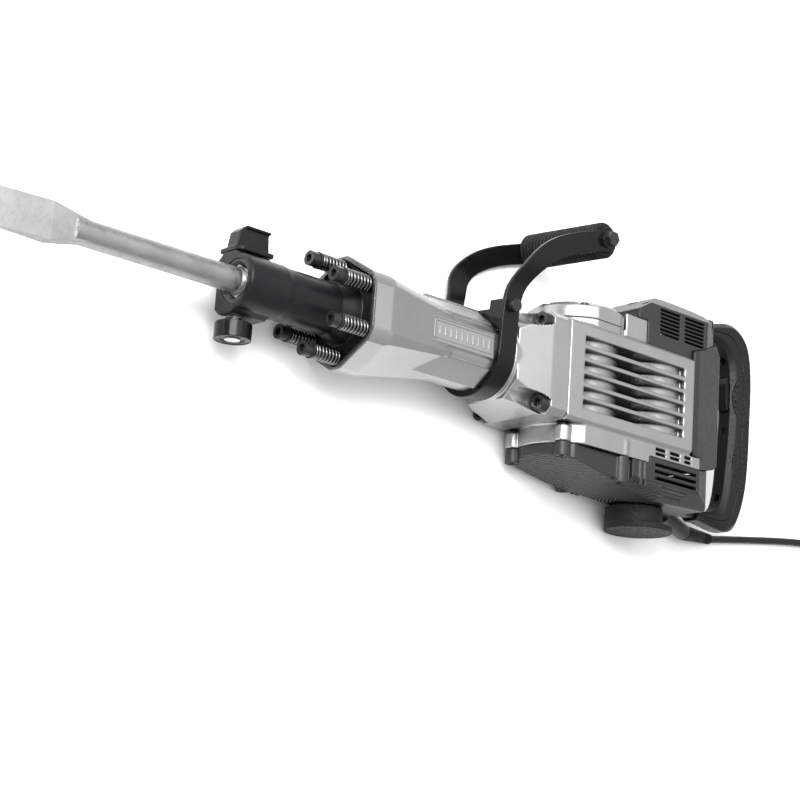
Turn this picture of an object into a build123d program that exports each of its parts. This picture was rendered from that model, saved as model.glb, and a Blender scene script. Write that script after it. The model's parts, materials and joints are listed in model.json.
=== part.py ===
"""Electric demolition hammer with a hexagonal tool socket, a flat chisel, a D-handle and a side handle.

Everything is modelled in the hammer's own axis frame: X runs along the hammer axis from the nose face
(X = 0) back to the D-handle, Y runs along the crank and motor shafts, Z comes out of the ribbed side.
The tool lies on its far ribbed side, so write() moves each piece to the row frame, whose origin is
the middle of the tool's footprint on the floor.
"""
from build123d import *
from math import acos, cos, hypot, pi, radians, sin, tan
import os

os.makedirs("parts", exist_ok=True)

# ---- driving dimensions, millimetres ----
BODY_HALF = 56.0          # half depth of the ribbed case: the tool lies on this flat
RIM_HALF = 56.0           # half the across-flats size of the hexagonal front rim
ROD_CLEARANCE = 3.5       # the rod's big end stops this far from the crank pin's circle
HANDLE_LEAN = 4.2         # the side handle leans this many degrees, so that its bolt head meets the floor
ORIGIN_X, ORIGIN_Y = 256.5, 16.0

NOSE_R, NOSE_FLANGE_X = 27.5, 139.0
HEX_AF = 30.0             # across flats of the chisel shank
HEX_GAP = 0.2
RETAINER_X, RETAINER_Z, RETAINER_R = 17.0, -18.0, 9.0
KNOB_PIN_R = 5.0
BOLT_CIRCLE_R, CUSHION_BOLTS = 47.5, 6
RIM_X, RECESS_X = 135.0, 152.0
BARREL_R, STRAP_R = 42.0, 41.5
STRAP_X0, STRAP_X1, STRAP_T = 321.0, 347.0, 4.0
CASE_SEAM_X, PANEL_END_X = 424.0, 635.0
LINER_R_IN, LINER_R_OUT = 27.0, 33.0
ANVIL_R = 16.0
PISTON_PIN_X, PISTON_PIN_R = 375.0, 7.0

CRANK_X, CRANK_THROW, CRANK_PIN_R = 487.0, 24.0, 9.0
MIDDLE_X, MOTOR_X = 549.5, 600.0
CRANK_CHAMBER_R, CHAMBER_R, CHAMBER_WALL_R = 41.0, 46.5, 50.5
CASE_TOP_Y, CASE_LOW_Y = 58.0, -58.0
GEAR_SEAM_Y, REAR_SEAM_Y, SEAM_STEP_X = -80.0, -72.0, 566.0
SEAM_GAP = 0.3
WAIST_END_X = 538.0        # the gear cover is narrower in front of this, so that its bosses stand out
MOTOR_SEAM_Y = CASE_TOP_Y + 0.2

CRANK_TEETH, MIDDLE_PINION_TEETH, CRANK_MODULE = 36, 14, 2.5
MIDDLE_TEETH, MOTOR_PINION_TEETH, MOTOR_MODULE = 40, 10, 2.0

CASE_BOLTS = [(sy * 47.0, sz * 45.0) for sy in (-1, 1) for sz in (-1, 1)]
BOSS_R = 9.0
BOSS_PLACES = [(436.0, 38.0), (436.0, -38.0), (526.0, 44.0), (526.0, -44.0)]
LID_R, LID_HALF = 57.0, 54.0
COVER_SCREWS = [(CRANK_X + 49 * cos(radians(a)), 49 * sin(radians(a))) for a in (68, 125, 180, 235, 292, 0)]
MOTOR_COVER_SCREWS = [(x, z) for x in (566, 680) for z in (-38, 38)]
SEAL_GROOVES = (228, 400)

# outline of the D-handle, (x, y), from its upper arm round to its lower one
HANDLE_OUTER = [(702.3, 128), (738, 134), (762, 136), (784, 123), (797, 86), (798, 20), (795, -50),
                (783, -100), (768, -121), (745, -124), (700.3, -120)]
HANDLE_INNER = [(702.3, 104), (734, 106), (748, 99), (756, 84), (758.5, 62), (759.5, 20), (754.5, -46),
                (749, -82), (741, -98), (728, -104), (700.3, -105)]
HANDLE_SCREWS = [90, 2, -83]
HANDLE_HALF, HANDLE_BEVEL = 14.5, 6.5

# the side handle's flat arms, (x, y) along their middle, and the bolts that hold it
ARM_PATH = [(334, -6), (334, 28), (334.5, 58), (343, 88), (365, 116), (396, 135), (428, 147), (462, 158)]
GRIP_X, GRIP_Y, GRIP_BOLT_R = 456.0, 157.0, 5.0
GRIP_R, GRIP_RINGS, GRIP_RING_PITCH = 20.5, 22, 5.2
CLAMP_BOLT = (334.0, 52.0)

# the mains cord: its outlet and strain relief, its way along the floor, and the wound length
CORD_R = 4.5
FLOOR_Z = -BODY_HALF
CORD_Z = FLOOR_Z + CORD_R
OUTLET_START, OUTLET_END = Vector(684, -111.5, -29.5), Vector(738, -123.5, -41)
GUARD_START, GUARD_END = Vector(738.3, -123.6, -41.1), Vector(797, -121.4, -49.3)
CORD_POINTS = [(797, -121.4, -49.3), (826, -116.8, CORD_Z + 0.3), (872, -109.7, CORD_Z),
               (925, -101.9, CORD_Z), (975, -95.5, CORD_Z), (1020, -92, CORD_Z), (1050, -94, CORD_Z + 0.8)]
COIL_X, COIL_Y, COIL_R, COIL_LIFT = 1053.8, -36.1, 49.0, 0.8
COIL_LANES, COIL_LAYERS = 3, 2

FIT = 0.05                # radial running clearance
LOW = (Align.CENTER, Align.CENTER, Align.MIN)


# ---- helpers ----
def cyl_x(r, x0, x1, y=0.0, z=0.0):
    return Pos(x0, y, z) * Rot(0, 90, 0) * Cylinder(r, x1 - x0, align=LOW)


def cyl_y(r, y0, y1, x=0.0, z=0.0):
    return Pos(x, y0, z) * Rot(-90, 0, 0) * Cylinder(r, y1 - y0, align=LOW)


def cyl_z(r, z0, z1, x=0.0, y=0.0):
    return Pos(x, y, z0) * Cylinder(r, z1 - z0, align=LOW)


def cone_x(r0, r1, x0, x1, y=0.0, z=0.0):
    return Pos(x0, y, z) * Rot(0, 90, 0) * Cone(r0, r1, x1 - x0, align=LOW)


def cone_y(r0, r1, y0, y1, x=0.0, z=0.0):
    return Pos(x, y0, z) * Rot(-90, 0, 0) * Cone(r0, r1, y1 - y0, align=LOW)


def block(x0, x1, y0, y1, z0, z1):
    middle = Pos((x0 + x1) / 2, (y0 + y1) / 2, (z0 + z1) / 2)
    return middle * Box(x1 - x0, y1 - y0, z1 - z0)


def ring_x(r0, r1, x0, x1, y=0.0, z=0.0):
    return cyl_x(r1, x0, x1, y, z) - cyl_x(r0, x0 - 1, x1 + 1, y, z)


def ring_y(r0, r1, y0, y1, x=0.0, z=0.0):
    return cyl_y(r1, y0, y1, x, z) - cyl_y(r0, y0 - 1, y1 + 1, x, z)


def prism(points, reach):
    """Solid made by moving the flat polygon through points along the vector reach."""
    face = Face(Wire.make_polygon([Vector(*p) for p in points], close=True))
    return Part() + Solid.extrude(face, Vector(*reach))


def prism_x(outline, x0, x1):
    return prism([(x0, y, z) for y, z in outline], (x1 - x0, 0, 0))


def prism_y(outline, y0, y1):
    return prism([(x, y0, z) for x, z in outline], (0, y1 - y0, 0))


def prism_z(outline, z0, z1):
    return prism([(x, y, z0) for x, y in outline], (0, 0, z1 - z0))


def taper_x(outline0, x0, outline1, x1):
    """Ruled solid between two polygons of as many corners, at x0 and x1."""
    wires = [Wire.make_polygon([Vector(x, y, z) for y, z in outline], close=True)
             for outline, x in ((outline0, x0), (outline1, x1))]
    return Part() + Solid.make_loft(wires, ruled=True)


def hexagon(across):
    """Corners (y, z) of a hexagon with corners on the Y axis and flats facing up and down."""
    r = across / 2 / cos(pi / 6)
    return [(r * cos(pi / 3 * k), r * sin(pi / 3 * k)) for k in range(6)]


def rectangle(half_y, half_z):
    return [(half_y, half_z), (-half_y, half_z), (-half_y, -half_z), (half_y, -half_z)]


def cut_square(half_y, half_z, corner):
    """Corners (y, z) of a rectangle with its corners cut off."""
    a, b = half_y - corner, half_z - corner
    return [(half_y, b), (a, half_z), (-a, half_z), (-half_y, b),
            (-half_y, -b), (-a, -half_z), (a, -half_z), (half_y, -b)]


def total(shapes):
    shapes = list(shapes)
    first = shapes[0]
    for other in shapes[1:]:
        first = first + other
    return first


def write(name, shape, turn=0.0):
    """Moves the shape to the row frame and writes it; turn is a swivel about the hammer axis."""
    solids = shape.solids()
    placed = [Pos(-ORIGIN_X, -ORIGIN_Y, BODY_HALF) * Rot(turn, 0, 0) * s for s in solids]
    export_step(Compound(children=placed) if len(placed) > 1 else placed[0], f"parts/{name}.step")
    print(name, len(placed), "solids")


def circle_places(count, radius, start=0.0):
    """(y, z) of count points on a circle about the hammer axis, from the Y axis."""
    angles = [radians(start + 360 / count * k) for k in range(count)]
    return [(radius * cos(a), radius * sin(a)) for a in angles]


def socket_screw_x(x, y, z, head_r, head_h, shank_r, length):
    """Socket screw with its head's front at x, pointing along +X."""
    head = cyl_x(head_r, x, x + head_h, y, z) - prism_x(
        [(y + p, z + q) for p, q in hexagon(head_r)], x - 1, x + head_h * 0.55)
    return head + cyl_x(shank_r, x + head_h - 1, x + head_h + length, y, z)


def screw_y(y, x, z, head_r, head_h, shank_r, length, way=1):
    """Socket screw along Y with its head's outer face at y; way is the direction of its shank."""
    y1 = y + way * head_h
    y2 = y1 + way * length
    head = cyl_y(head_r, min(y, y1), max(y, y1), x, z)
    head -= cyl_y(head_r * 0.5, min(y, y + way * head_h * 0.5) - 0.5 * (way > 0),
                  max(y, y + way * head_h * 0.5) + 0.5 * (way < 0), x, z)
    return head + cyl_y(shank_r, min(y1 - way, y2), max(y1 - way, y2), x, z)


def screw_z(z, x, y, head_r, head_h, shank_r, length):
    """Screw pointing along -Z with its head's outer face at z."""
    head = cyl_z(head_r, z - head_h, z, x, y) - cyl_z(head_r * 0.5, z - head_h * 0.5, z + 1, x, y)
    return head + cyl_z(shank_r, z - head_h - length, z - head_h + 1, x, y)


# ---- nose and tool retainer ----
def front_cover():
    """Cast nose with the retainer's housing across it and a flange that slides on six bolts."""
    body = cyl_x(28.5, 2, 50) + cone_x(26.5, 28.5, 0, 2) + cyl_x(NOSE_R, 50, 118)
    body += cone_x(NOSE_R, 34, 118, NOSE_FLANGE_X) + cone_x(28.5, NOSE_R, 50, 56)
    flange = prism_x(hexagon(98), NOSE_FLANGE_X, 149) & cyl_x(54, NOSE_FLANGE_X, 149)
    housing = prism_x([(-32, -2), (-32, -22), (-26, -29), (26, -29), (32, -22), (32, -2), (27, 6), (-27, 6)],
                      0, 44)
    body += flange + housing
    body -= cyl_x(22, -1, 100)
    body -= cyl_x(18, 99, 122) + cyl_x(ANVIL_R + FIT, 121, 150)
    body -= cyl_y(RETAINER_R + FIT, -40, 40, RETAINER_X, RETAINER_Z)
    for y, z in circle_places(CUSHION_BOLTS, BOLT_CIRCLE_R):
        body -= cyl_x(5.3, NOSE_FLANGE_X - 8, 150, y, z)
        body -= cyl_x(9.5, NOSE_FLANGE_X - 12, NOSE_FLANGE_X, y, z)
    return body


def nose_bush():
    """Hardened sleeve with the hexagonal tool socket, a flared mouth and the retainer's cross hole."""
    bush = cyl_x(22, 1, 99) - prism_x(hexagon(HEX_AF + 2 * HEX_GAP), 0, 100)
    bush -= cone_x(20, 15.2, 0.9, 6)
    return bush - cyl_y(RETAINER_R + FIT, -40, 40, RETAINER_X, RETAINER_Z)


def retainer_shaft():
    """Cross shaft that locks the shank; its flat lets the shank out when it is half a turn round."""
    x, z = RETAINER_X, RETAINER_Z
    shaft = cyl_y(RETAINER_R, -33, 36, x, z) + cyl_y(KNOB_PIN_R, -53.1, -33, x, z)
    shaft += cyl_y(8, -54.8, -53.1, x, z)
    flat = block(x - 10, x + 10, -22, 22, z - 10, z - 2.6)
    return shaft - flat


def retainer_lever():
    """Thumb lever on top of the shaft: a base plate and a fin with a ledge along its edge."""
    x, z = RETAINER_X, RETAINER_Z
    plate_outline = [(x - 16, z - 12), (x - 16, z + 14), (x - 11, z + 20), (x + 28, z + 20), (x + 28, z - 12)]
    plate = prism_y(plate_outline, 33, 38)
    fin = prism_z([(x - 15, 37), (x - 12, 54), (x - 6, 60), (x + 24, 60), (x + 26, 37)], z - 3, z + 14)
    ledge = block(x - 6, x + 25, 57.5, 60.5, z + 13, z + 17)
    lever = plate + fin + ledge
    return lever - cyl_y(RETAINER_R, 20, 36, x, z)


def retainer_knob():
    """Sprung cup round the lower end of the cross shaft."""
    x, z = RETAINER_X, RETAINER_Z
    cup = cyl_y(19, -55, -38, x, z) - cyl_y(12, -46, -37, x, z) - cyl_y(17.4, -56, -54.2, x, z)
    return cup - cyl_y(KNOB_PIN_R + FIT, -56, -40, x, z) - cyl_y(13, -56, -53, x, z)


def retainer_spring():
    return ring_y(9.5, 11.5, -45.9, -33.5, RETAINER_X, RETAINER_Z)


def flat_chisel():
    """Flat chisel: a hexagonal shank with the retainer's notch, a round stem and a flattened blade."""
    shank = prism_x(hexagon(HEX_AF), 4, 96) + cyl_x(12, 96, 118)
    stem = cyl_x(13, -190, 5) + cone_x(13, 15, 0, 4.5)
    blade_root = taper_x(rectangle(9, 9), -170, rectangle(19, 7), -215)
    blade = taper_x(rectangle(19, 7), -215, rectangle(19, 1), -285)
    notch = block(4, RETAINER_X + RETAINER_R + 16.5, -30, 30, -30, -8.2)
    return shank + stem + blade_root + blade - notch


# ---- cylinder case ----
def cylinder_case():
    """Aluminium barrel: a hexagonal front rim, a round barrel and a square rear flange."""
    rim = prism_x(hexagon(2 * RIM_HALF), RIM_X, 160)
    taper = taper_x(hexagon(2 * RIM_HALF), 160, hexagon(76), 266)
    limit = cyl_x(60.5, RIM_X, 165) + cone_x(60.5, 43, 165, 262)
    case = (rim + taper) & limit
    case += cyl_x(BARREL_R, 150, STRAP_X0) + cyl_x(STRAP_R, STRAP_X0 - 1, STRAP_X1 + 1)
    case += cyl_x(48, STRAP_X1 + 0.6, 358)
    case += taper_x(cut_square(48, 47, 20), 352, cut_square(58, BODY_HALF, 7), 396)
    case += prism_x(cut_square(58, BODY_HALF, 7), 396, CASE_SEAM_X)
    case += block(238, 318, 18, 45, -16, 16) + block(222, 314, -12, 12, -43.5, 43.5)
    for y, z in CASE_BOLTS:
        case -= cyl_x(11.5, 350, 397, y, z)
        case -= cyl_x(6.2, 396, CASE_SEAM_X + 1, y, z)
    case -= prism_x(hexagon(2 * RIM_HALF - 11), RIM_X - 1, RECESS_X) & cyl_x(57.5, RIM_X - 1, RECESS_X)
    for y, z in circle_places(CUSHION_BOLTS, BOLT_CIRCLE_R):
        case -= cyl_x(5.02, RECESS_X - 1, 178, y, z)
    case -= cyl_x(ANVIL_R + FIT, RECESS_X - 1, 200) + cyl_x(21, 165, 212)
    case -= cyl_x(LINER_R_OUT, 214, CASE_SEAM_X + 1)
    case -= cyl_x(LINER_R_IN, 205, 220)
    return case


def cushion_bolts():
    places = circle_places(CUSHION_BOLTS, BOLT_CIRCLE_R)
    return total(socket_screw_x(91, y, z, 8, 10, 5, 76) for y, z in places)


def cushion_washers():
    return total(ring_x(5.3, 9, 101.2, 103.2, y, z) for y, z in circle_places(CUSHION_BOLTS, BOLT_CIRCLE_R))


def cushion_springs():
    """Six compression springs between the bolt heads and the nose flange, one helix copied round."""
    wire_r, coil_r, x0, x1 = 1.5, 7.4, 105.0, 137.2
    path = Helix(pitch=(x1 - x0) / 7, height=x1 - x0, radius=coil_r)
    section = Plane(origin=path @ 0, z_dir=path % 0) * Circle(wire_r)
    spring = sweep(section, path=path, is_frenet=True)
    places = circle_places(CUSHION_BOLTS, BOLT_CIRCLE_R)
    return total(Pos(x0, y, z) * Rot(0, 90, 0) * spring for y, z in places)


def case_bolts():
    return total(socket_screw_x(386, y, z, 9, 11, 6, 55) for y, z in CASE_BOLTS)


# ---- hammer mechanism ----
def cylinder_liner():
    liner = ring_x(LINER_R_IN, LINER_R_OUT, 220, 420)
    for x in (250, 300):
        liner -= cyl_z(2, -40, 40, x)
    for x in SEAL_GROOVES:
        liner -= ring_x(LINER_R_OUT - 1.5, LINER_R_OUT + 1, x, x + 3)
    return liner


def liner_seals():
    return total(ring_x(LINER_R_OUT - 1.5, LINER_R_OUT, x, x + 3) for x in SEAL_GROOVES)


def damper_ring():
    """Rubber ring that the nose flange lands on when it springs back."""
    return ring_x(32, 42, 149.1, RECESS_X)


def striker():
    """Free ram between the piston and the impact bolt."""
    return cyl_x(LINER_R_IN - FIT, 226, 276) - ring_x(25, 28, 244, 247) - ring_x(25, 28, 255, 258)


def striker_seals():
    return ring_x(25, LINER_R_IN - 0.03, 244, 247) + ring_x(25, LINER_R_IN - 0.03, 255, 258)


def impact_bolt():
    """Stepped anvil that passes the blow from the ram to the chisel."""
    return cyl_x(ANVIL_R, 136, 175) + cyl_x(20.5, 175, 196) + cyl_x(ANVIL_R, 195, 211)


def piston():
    body = cyl_x(LINER_R_IN - FIT, 330, 396) - cyl_x(20, 345, 397) - ring_x(24.5, 28, 336, 339)
    return body - cyl_y(PISTON_PIN_R, -40, 40, PISTON_PIN_X)


def piston_pin():
    return cyl_y(PISTON_PIN_R, -25, 25, PISTON_PIN_X)


def connecting_rod():
    """Rod from the piston pin to the crank; its big end stops clear of the pin's circle."""
    rod = cyl_y(12, -9, 9, PISTON_PIN_X) - cyl_y(PISTON_PIN_R + FIT, -10, 10, PISTON_PIN_X)
    bar = block(385, 448, -6, 6, -7, 7) + cyl_y(12.5, -9, 9, 442)
    return rod + bar - cyl_y(CRANK_THROW + CRANK_PIN_R + ROD_CLEARANCE, -20, 20, CRANK_X)


# ---- gears ----
def gear(module, teeth, y0, y1, x, turn=0.0, play=0.12):
    """Spur gear about an axis along Y, with involute flanks; turn is in teeth."""
    pitch_r = module * teeth / 2
    base_r = pitch_r * cos(radians(20))
    tip_r, root_r = pitch_r + 0.9 * module, pitch_r - 1.2 * module
    half_at_pitch = (pi / 2 / teeth) - play / pitch_r

    def lean(r):
        if r <= base_r:
            return 0.0
        a = acos(base_r / r)
        return tan(a) - a

    start_r = max(base_r, root_r)
    radii = [root_r] + [start_r + (tip_r - start_r) * t for t in (0.01, 0.3, 0.65, 1.0)]
    points = []
    for k in range(teeth):
        middle = 2 * pi * (k + turn) / teeth
        half = [half_at_pitch + lean(pitch_r) - lean(r) for r in radii]
        flank = list(zip(radii, half))
        points += [(x + r * cos(middle - h), r * sin(middle - h)) for r, h in flank]
        points += [(x + r * cos(middle + h), r * sin(middle + h)) for r, h in reversed(flank)]
    return prism_y(points, y0, y1)


def crank_shaft():
    """Crank with a round web, a counterweight side and an overhung pin."""
    web = cyl_y(34, -34, -14, CRANK_X)
    pin = cyl_y(CRANK_PIN_R, -15, 14, CRANK_X - CRANK_THROW)
    return web + pin + cyl_y(10, -92, -33, CRANK_X)


def crank_gear():
    wheel = gear(CRANK_MODULE, CRANK_TEETH, -78, -66, CRANK_X)
    wheel -= ring_y(16, 34, -79, -76, CRANK_X)
    return wheel - cyl_y(10, -80, -60, CRANK_X)


def middle_shaft():
    """Intermediate shaft with its pinion, driving the crank gear."""
    half_tooth = 0.5 if MIDDLE_PINION_TEETH % 2 == 0 else 0.0
    pinion = gear(CRANK_MODULE, MIDDLE_PINION_TEETH, -79, -65, MIDDLE_X, half_tooth)
    return pinion + cyl_y(8, -102, -52, MIDDLE_X)


def middle_gear():
    wheel = gear(MOTOR_MODULE, MIDDLE_TEETH, -92, -82, MIDDLE_X)
    return wheel - cyl_y(8, -93, -81, MIDDLE_X)


def bearing(y0, y1, x, r0, r1):
    """Shielded ball bearing: one ring with a shallow groove in each side, between its races."""
    third = (r1 - r0) / 3
    ring = ring_y(r0, r1, y0, y1, x)
    for low, high in ((y0 - 1, y0 + 0.6), (y1 - 0.6, y1 + 1)):
        ring -= ring_y(r0 + third, r1 - third, low, high, x)
    return ring


def crank_bearings():
    return bearing(-64, -53, CRANK_X, 10, 20) + bearing(-49, -38, CRANK_X, 10, 20)


def middle_bearings():
    return bearing(-64.5, -54.5, MIDDLE_X, 8, 14) + bearing(-102, -96.5, MIDDLE_X, 8, 12)


def armature_bearings():
    return (bearing(-69, -59, MOTOR_X, 6, 16) + bearing(-106, -98, MOTOR_X, 7, 14)
            + bearing(77, 84, MOTOR_X, 6, 14))


# ---- crank case ----
def gear_plan(grow=0.0):
    """Plan outline of the gear housing as a solid column: round in front, its rear corners cut twice."""
    half, rear = 52 + grow, 700 + grow
    nose = cyl_y(60 + grow, -130, -50, CRANK_X) & block(400, CRANK_X, -130, -50, -half, half)
    outline = [(CRANK_X, half), (654, half), (681, 40 + grow), (rear, 24 + grow)]
    mirrored = [(x, -z) for x, z in reversed(outline)]
    return nose + prism_y(outline + mirrored, -130, -50)


def rib_slots():
    """Six cooling slots in each side, their floors on the two round chamber walls."""
    slots = []
    for k in range(6):
        y = 36.5 - 14.6 * k
        for side in (-1, 1):
            z0, z1 = (28, 60) if side > 0 else (-60, -28)
            slots.append(block(448, 618, y - 4.8, y + 4.8, z0, z1))
    chambers = cyl_y(CHAMBER_WALL_R, -70, 70, CRANK_X) + cyl_y(CHAMBER_WALL_R, -70, 70, MOTOR_X)
    return [slot - chambers for slot in slots]


def crank_case():
    """Aluminium case holding the crank chamber and the motor chamber, ribbed on both sides."""
    case = prism_x(cut_square(58, BODY_HALF, 4), CASE_SEAM_X, PANEL_END_X)
    skirt = block(400, SEAM_STEP_X, GEAR_SEAM_Y, CASE_LOW_Y + 2, -60, 60)
    skirt += block(SEAM_STEP_X, PANEL_END_X, REAR_SEAM_Y, CASE_LOW_Y + 2, -60, 60)
    skirt += block(PANEL_END_X, 654, REAR_SEAM_Y, CASE_LOW_Y, -60, 60)
    case += gear_plan() & skirt
    case += cyl_y(CHAMBER_WALL_R, CASE_LOW_Y, CASE_TOP_Y, MOTOR_X) & block(600, 660, -70, 70, -60, 60)
    case += cyl_y(LID_R, 50, 66, CRANK_X) & block(400, 560, 50, 66, -LID_HALF, LID_HALF)
    case += block(520, 556, 50, 86, -50, 50) - cyl_y(LID_R + SEAM_GAP, 66, 90, CRANK_X)
    for x, z in BOSS_PLACES:
        case += cyl_y(BOSS_R, GEAR_SEAM_Y, -62, x, z)
    for slot in rib_slots():
        case -= slot
    case -= cyl_y(CRANK_CHAMBER_R, -38, 70, CRANK_X) + cyl_x(36, 400, CRANK_X - 30)
    case -= cyl_x(LINER_R_OUT, 400, 430)
    case -= cyl_y(CHAMBER_R, -56, 70, MOTOR_X)
    case -= cyl_y(49, -81, -64, CRANK_X) + cyl_y(24, -81, -64, MIDDLE_X)
    case -= block(500, 560, -81, -64, -22, 22)
    case -= cyl_y(43.5, -81, -78.5, MIDDLE_X) + cyl_y(24, -81, -71, MOTOR_X)
    case -= cyl_y(20, -65, -37, CRANK_X) + cyl_y(14, -65, -50, MIDDLE_X)
    case -= cyl_y(16, -71, -49, MOTOR_X)
    for y, z in CASE_BOLTS:
        case -= cyl_x(6.2, CASE_SEAM_X - 1, 453, y, z)
    for x, z in BOSS_PLACES:
        case -= cyl_y(4, GEAR_SEAM_Y - 1, -56, x, z)
    for x, z in COVER_SCREWS:
        case -= cyl_y(3, 52, 67, x, z)
    for x, length in ((576, 18), (601, 18), (627, 12)):
        for y in (-62, -67.5):
            for side in (-1, 1):
                case -= block(x, x + length, y - 1.6, y + 1.6, side * 50 - 6, side * 50 + 6)
    return case


def boss_low(x):
    """How far down a gear cover boss reaches: the front ones stop higher."""
    return -97 if x < CRANK_X else -111


def gear_cover():
    """Dark cover under the gears: round in front, deeper under the motor, with vents at the back."""
    rear_top = REAR_SEAM_Y - SEAM_GAP
    outline = [(420, GEAR_SEAM_Y - SEAM_GAP), (420, -90), (440, -96), (520, -110), (600, -117), (684, -115),
               (700, -102), (700, -63.5), (692, -64), (655, rear_top), (SEAM_STEP_X + SEAM_GAP, rear_top),
               (SEAM_STEP_X + SEAM_GAP, GEAR_SEAM_Y - SEAM_GAP)]
    slope = prism_x([(-60, 70), (-60, -70), (-100, -53), (-118, -30), (-118, 30), (-100, 53)], 400, 720)
    waist = block(400, WAIST_END_X, -130, -50, -46, 46) + block(WAIST_END_X, 720, -130, -50, -60, 60)
    cover = prism_z(outline, -60, 60) & gear_plan() & slope & waist
    for x, z in BOSS_PLACES:
        cover += cyl_y(BOSS_R, boss_low(x), GEAR_SEAM_Y - SEAM_GAP, x, z)
    for x in (549, 557):
        for side in (-1, 1):
            z0, z1 = sorted((side * 40, side * 54))
            cover += block(x, x + 4.5, -109, GEAR_SEAM_Y - SEAM_GAP, z0, z1)
    inside = [(430, -70), (430, -88), (520, -103), (600, -110), (680, -109), (695, -100), (695, -60),
              (600, -60)]
    hollow = prism_z(inside, -46, 46) & gear_plan(-5)
    for z0, z1 in ((41, 60), (-60, -41)):
        hollow -= block(400, WAIST_END_X - 1, -130, -50, z0, z1)
    inner_slope = [(-50, 60), (-50, -60), (-98, -46), (-111, -26), (-111, 26), (-98, 46)]
    cover -= hollow & prism_x(inner_slope, 400, 720)
    seats = ring_y(12, 17, -106, -96, MIDDLE_X) + ring_y(14, 19, -111, -96, MOTOR_X)
    seat_limit = [(500, -60), (500, -99), (520, -107), (600, -115), (650, -115), (650, -60)]
    cover += seats & prism_z(seat_limit, -40, 40)
    cover -= cyl_y(12, -102.1, -90, MIDDLE_X) + cyl_y(14, -106.1, -90, MOTOR_X)
    cover += block(674, 730, -116, -108, -7, 7) + cord_outlet()
    for x, z in BOSS_PLACES:
        low = boss_low(x)
        cover -= cyl_y(4, low - 1, -70, x, z) + cyl_y(6.3, low - 1, low + 8, x, z)
    for k in range(3):
        for side in (-1, 1):
            z0, z1 = sorted((side * 43, side * 56))
            cover -= block(576, 650, -82 - 7.7 * k, -78.4 - 7.7 * k, z0, z1)
    for k in range(3):
        for side in (-1, 1):
            z0, z1 = sorted((side * 36, side * 56))
            cover -= block(592 + 7 * k, 636, -104 - 3.4 * k, -102.2 - 3.4 * k, z0, z1)
    return cover


def cord_outlet():
    """Short moulded elbow on the cover that points the cord down to the floor."""
    reach = OUTLET_END - OUTLET_START
    return Plane(origin=OUTLET_START, z_dir=reach) * Cone(11.5, 10, reach.length, align=LOW)


def gear_cover_screws():
    return total(screw_y(boss_low(x) + 1, x, z, 6, 6, 3.9, -boss_low(x) - 66)
                 for x, z in BOSS_PLACES)


def crank_cover():
    """Round lid over the crank chamber, trimmed flat at both sides, with screws in notches in its edge."""
    lid = cyl_y(LID_R, 66, 80, CRANK_X) + cone_y(LID_R, 50, 80, 85.5, CRANK_X)
    lid = (lid & block(400, 560, 60, 90, -LID_HALF, LID_HALF)) + cyl_y(CRANK_CHAMBER_R, 60, 67, CRANK_X)
    lid -= cyl_y(37, 55, 78, CRANK_X)
    for x, z in COVER_SCREWS:
        lid -= cyl_y(3.2, 60, 84, x, z) + cyl_y(6.5, 80, 90, x, z)
    return lid


def crank_cover_screws():
    return total(screw_y(84, x, z, 5, 3.9, 3, 26, way=-1) for x, z in COVER_SCREWS)


# ---- motor ----
def stator():
    core = ring_y(29, CHAMBER_R - 0.2, -28, 30, MOTOR_X)
    for side in (-1, 1):
        core -= cyl_y(5.5, -29, 31, MOTOR_X, side * 37)
    return core


def stator_coils():
    """Two field coils, one each side, running through the core and round its ends."""
    coils = []
    for side in (-1, 1):
        z0, z1 = side * 37 - 5, side * 37 + 5
        coil = cyl_y(5.3, -30, 32, MOTOR_X, side * 37)
        for y0, y1 in ((30.2, 38), (-36, -28.2)):
            coil += block(MOTOR_X - 18, MOTOR_X + 18, y0, y1, z0, z1)
        coils.append(coil)
    return total(coils)


def armature():
    """Armature core on its shaft, with the drive pinion cut in the lower end."""
    core = cyl_y(28, -28, 30, MOTOR_X)
    for k in range(12):
        a = radians(30 * k)
        core -= cyl_y(2, -29, 31, MOTOR_X + 28 * cos(a), 28 * sin(a))
    shaft = cyl_y(6, -76, 84, MOTOR_X)
    pinion = gear(MOTOR_MODULE, MOTOR_PINION_TEETH, -94, -75.9, MOTOR_X, 0.5)
    return core + shaft + pinion + cyl_y(7, -106, -94, MOTOR_X)


def commutator():
    drum = ring_y(6, 15, 40, 62, MOTOR_X) + ring_y(6, 17, 38, 41, MOTOR_X)
    for k in range(12):
        a = radians(30 * k)
        drum -= cyl_y(0.6, 41.5, 63, MOTOR_X + 15 * cos(a), 15 * sin(a))
    return drum


def fan():
    """Radial fan below the armature."""
    disc = cyl_y(40, -47, -44, MOTOR_X)
    for k in range(12):
        blade = Pos(MOTOR_X, 0, 0) * Rot(0, 30 * k, 0) * block(16, 39, -44.5, -38.5, -0.9, 0.9)
        disc += blade
    return disc + cyl_y(12, -47, -38.5, MOTOR_X) - cyl_y(6, -50, -30, MOTOR_X)


def brush_holders():
    holders = []
    for z in (-25, 25):
        outside = block(MOTOR_X - 6, MOTOR_X + 6, 45, 57, z - 7, z + 7)
        holders.append(outside - block(MOTOR_X - 4, MOTOR_X + 4, 47, 55, z - 8, z + 8))
    return total(holders)


def carbon_brushes():
    return total(block(MOTOR_X - 3.9, MOTOR_X + 3.9, 47.1, 54.9, z0, z1)
                 for z0, z1 in ((-29, -15.2), (15.2, 29)))


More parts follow.
